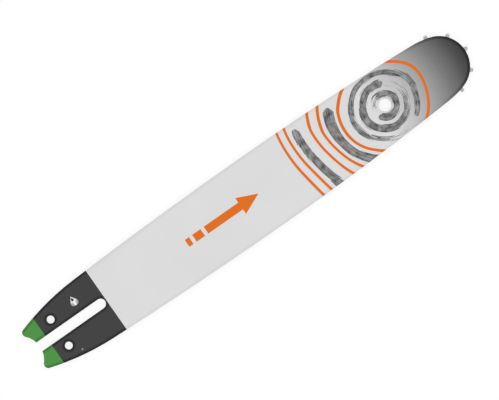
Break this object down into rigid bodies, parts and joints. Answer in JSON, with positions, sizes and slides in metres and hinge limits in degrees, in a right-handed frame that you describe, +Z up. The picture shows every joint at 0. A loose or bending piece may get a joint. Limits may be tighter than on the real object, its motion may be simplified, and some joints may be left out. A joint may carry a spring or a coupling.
{
  "type": "chainsaw guide bar",
  "caption": "Laminated chainsaw guide bar with a chain groove round its edge, a stud slot and tension holes in its forked tail, and a star sprocket that turns on rollers in its nose.",
  "frame": {"origin": "on the face that the bar lies on, at the middle of its length and width", "axes": "+X along the bar to its nose, +Y across the bar, +Z up through its thickness"},
  "size_m": [0.413, 0.062, 0.004],
  "materials": {
    "bar_lacquer": "light grey satin lacquer on stamped steel, black tail, green prong tips, dark nose",
    "core_steel": "oiled sheet steel, sheared edge",
    "sprocket_steel": "bright tumbled steel",
    "bearing_steel": "ground bearing steel with a film of grease",
    "rivet_lacquer": "ground flush and lacquered over with the nose"
  },
  "bodies": {
    "bar": {"upper_side_plate": "bar_lacquer", "core_plate": "core_steel", "lower_side_plate": "bar_lacquer", "bearing_race": "bearing_steel", "nose_rivets": "rivet_lacquer"},
    "sprocket": {"nose_sprocket": "sprocket_steel"},
    "roller_ring": {"bearing_roller_01": "bearing_steel", "bearing_roller_02": "bearing_steel", "bearing_roller_03": "bearing_steel", "bearing_roller_04": "bearing_steel", "bearing_roller_05": "bearing_steel", "bearing_roller_06": "bearing_steel", "bearing_roller_07": "bearing_steel", "bearing_roller_08": "bearing_steel", "bearing_roller_09": "bearing_steel", "bearing_roller_10": "bearing_steel", "bearing_roller_11": "bearing_steel", "bearing_roller_12": "bearing_steel", "bearing_roller_13": "bearing_steel", "bearing_roller_14": "bearing_steel"}
  },
  "joints": [
    {"name": "sprocket_spin", "type": "hinge", "parent": "bar", "child": "sprocket", "pos_m": [0.1797, 0, 0.002], "axis": [0, 0, 1], "continuous": true},
    {"name": "roller_ring_spin", "type": "hinge", "parent": "bar", "child": "roller_ring", "pos_m": [0.1797, 0, 0.002], "axis": [0, 0, 1], "continuous": true}
  ],
  "couplings": [
    {"joint": "roller_ring_spin", "follows": "sprocket_spin", "ratio": 0.60796}
  ]
}
